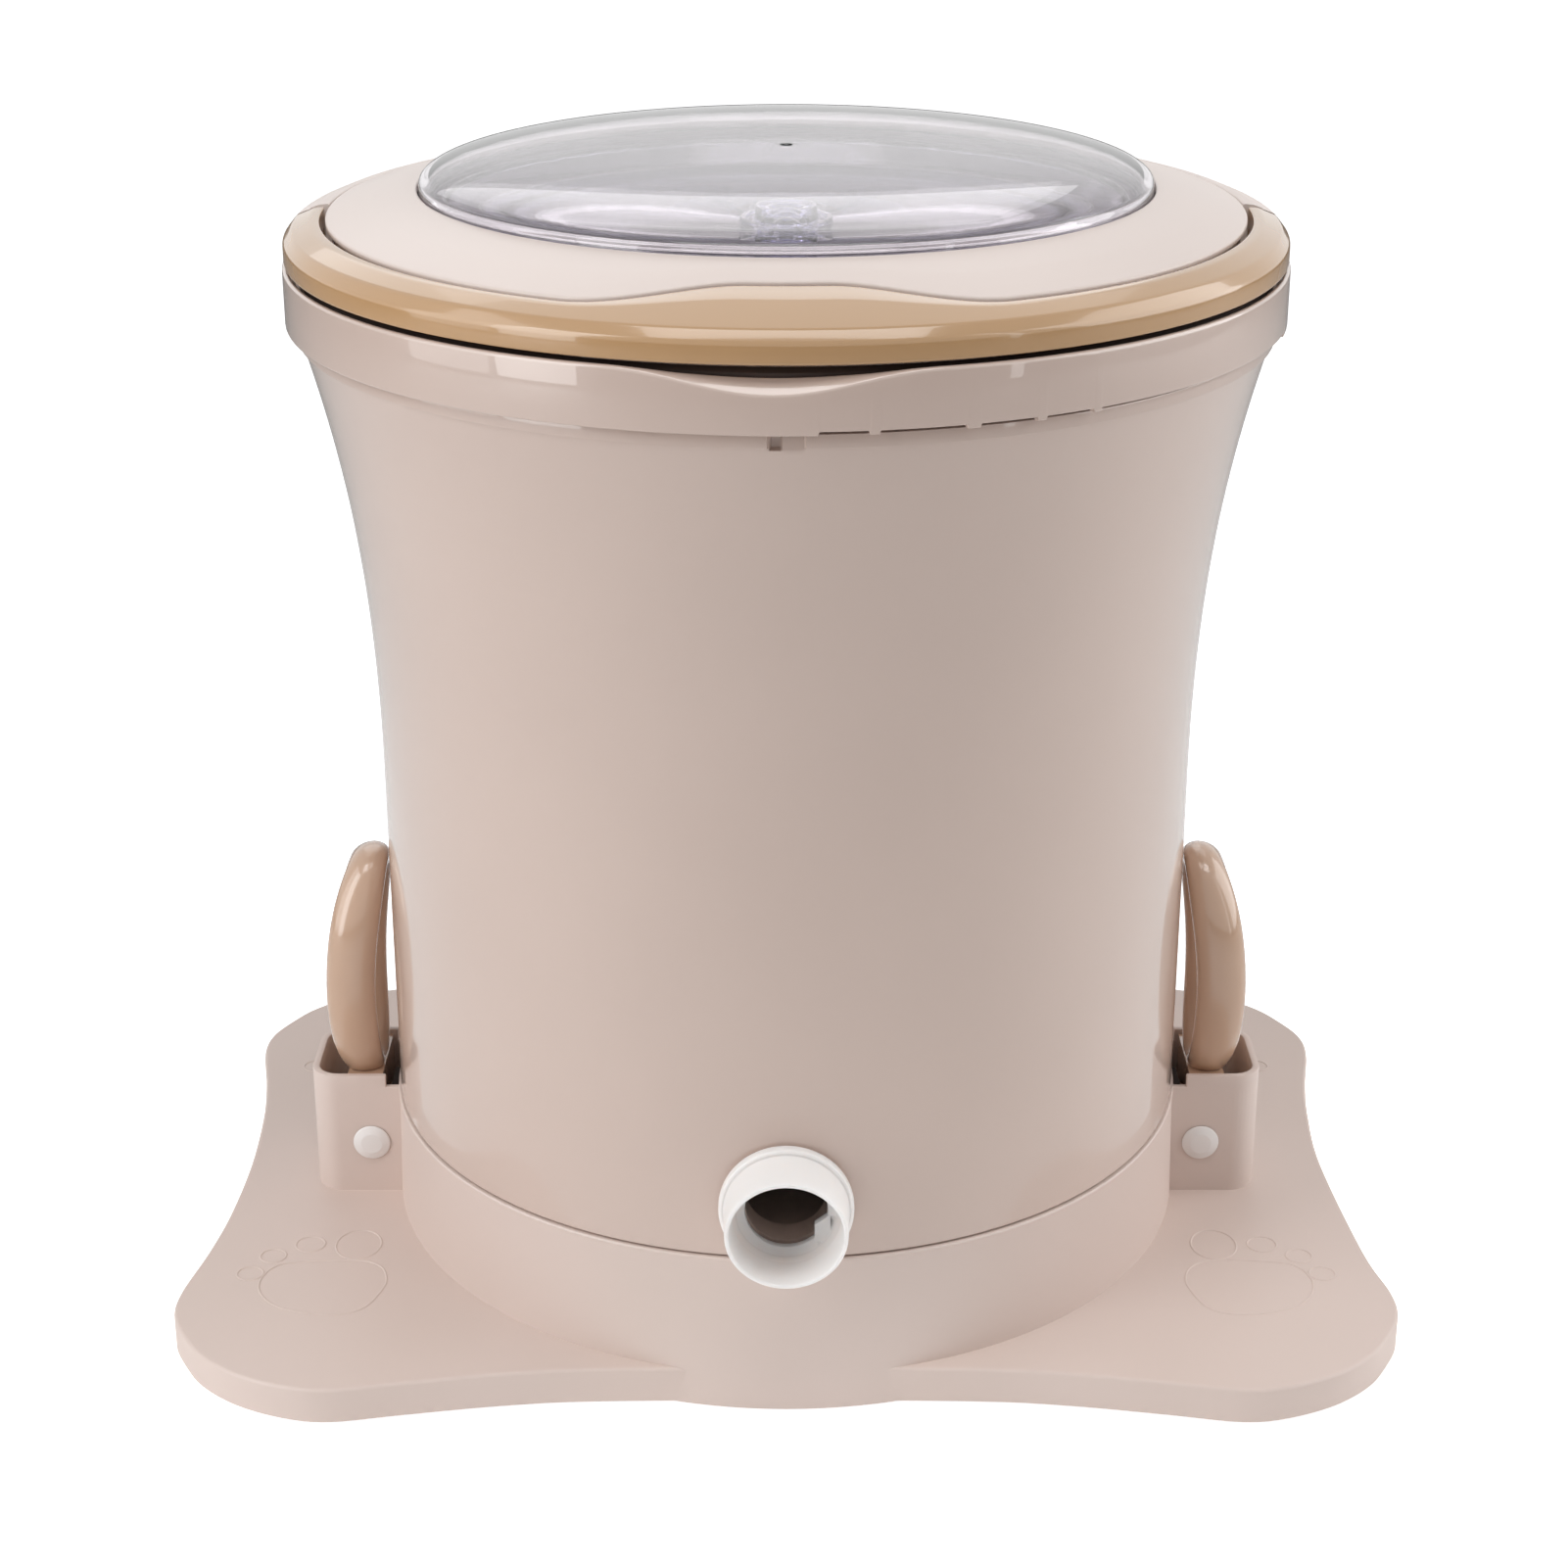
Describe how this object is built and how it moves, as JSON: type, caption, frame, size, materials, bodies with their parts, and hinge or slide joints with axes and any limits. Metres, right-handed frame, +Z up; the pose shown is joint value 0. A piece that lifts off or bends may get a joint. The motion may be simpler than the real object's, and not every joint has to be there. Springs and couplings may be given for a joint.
{
  "type": "manual spin dryer",
  "caption": "Hand-worked spin dryer: a flared barrel pumped up and down over a twisted rod on a lobed foot plate, with bail handle, hinged clear lid, basket and drain spout.",
  "frame": {"origin": "on the floor, on the barrel's spin axis, under the middle of the foot plate", "axes": "+Z up along the spin axis, +X to the user's right along the wide side of the foot plate, and the drain spout and the grip of the bail face -Y"},
  "size_m": [0.3964, 0.3118, 0.3702],
  "materials": {
    "body_taupe": "glossy pearl taupe",
    "blush_plastic": "satin pale blush",
    "tan_gloss": "glossy tan",
    "white_plastic": "satin white",
    "clear_plastic": "clear, faint grey",
    "steel": "ground",
    "rubber": "matt",
    "nylon": "matt",
    "brass": "machined"
  },
  "bodies": {
    "base": {"foot_base": "body_taupe", "rubber_foot_front_right": "rubber", "rubber_foot_rear_right": "rubber", "rubber_foot_rear_left": "rubber", "rubber_foot_front_left": "rubber", "guide_tube": "steel", "guide_screw_1": "steel", "guide_screw_2": "steel", "guide_screw_3": "steel", "drive_rod": "steel", "rod_washer": "steel", "rod_nut": "steel", "latch_pin_left": "white_plastic", "latch_pin_right": "white_plastic"},
    "barrel": {"outer_barrel": "body_taupe", "rim_ring": "body_taupe", "rear_cover": "blush_plastic", "lid_hinge_pin": "steel", "bail_pin_left": "steel", "bail_pin_right": "steel", "drain_spout": "white_plastic", "spout_seal": "rubber", "hub_housing": "white_plastic", "hub_gasket": "rubber", "guide_bush": "nylon", "lower_bearing_outer": "steel", "upper_bearing_outer": "steel", "bearing_spacer": "steel", "bearing_cap": "white_plastic", "shaft_seal": "rubber"},
    "basket": {"basket": "white_plastic", "basket_floor": "white_plastic", "centre_column": "white_plastic", "top_spindle": "steel", "basket_shaft": "steel", "one_way_clutch": "steel", "clutch_circlip": "steel", "lower_bearing_inner": "steel", "upper_bearing_inner": "steel", "lower_ball_ring": "steel", "upper_ball_ring": "steel"},
    "drive_nut": {"drive_nut": "brass"},
    "lid": {"lid_ring": "blush_plastic", "dome_window": "clear_plastic", "dome_seal": "rubber", "inner_cover": "clear_plastic", "lid_bush": "nylon"},
    "bail": {"bail_handle": "tan_gloss", "bail_underside_cover": "tan_gloss"},
    "latch_right": {"latch_ring_right": "tan_gloss", "latch_pad_right": "rubber"},
    "latch_left": {"latch_ring_left": "tan_gloss", "latch_pad_left": "rubber"}
  },
  "joints": [
    {"name": "barrel_lift", "type": "slide", "parent": "base", "child": "barrel", "axis": [0, 0, 1], "range_m": [0, 0.08]},
    {"name": "basket_spin", "type": "hinge", "parent": "barrel", "child": "basket", "pos_m": [0, 0, 0.099], "axis": [0, 0, 1], "continuous": true},
    {"name": "nut_spin", "type": "hinge", "parent": "barrel", "child": "drive_nut", "pos_m": [0, 0, 0.1393], "axis": [0, 0, 1], "range_deg": [0, 481]},
    {"name": "lid_open", "type": "hinge", "parent": "barrel", "child": "lid", "pos_m": [0, 0.147, 0.345], "axis": [-1, 0, 0], "range_deg": [0, 100]},
    {"name": "bail_lift", "type": "hinge", "parent": "barrel", "child": "bail", "pos_m": [0, -0.0048, 0.3432], "axis": [-1, 0, 0], "range_deg": [0, 90]},
    {"name": "latch_right", "type": "hinge", "parent": "base", "child": "latch_right", "pos_m": [0.1428, 0, 0.0321], "axis": [0, 1, 0], "range_deg": [0, 9]},
    {"name": "latch_left", "type": "hinge", "parent": "base", "child": "latch_left", "pos_m": [-0.1428, 0, 0.0321], "axis": [0, -1, 0], "range_deg": [0, 9]}
  ],
  "couplings": [
    {"joint": "nut_spin", "follows": "barrel_lift", "rad_per_m": 104.72}
  ]
}
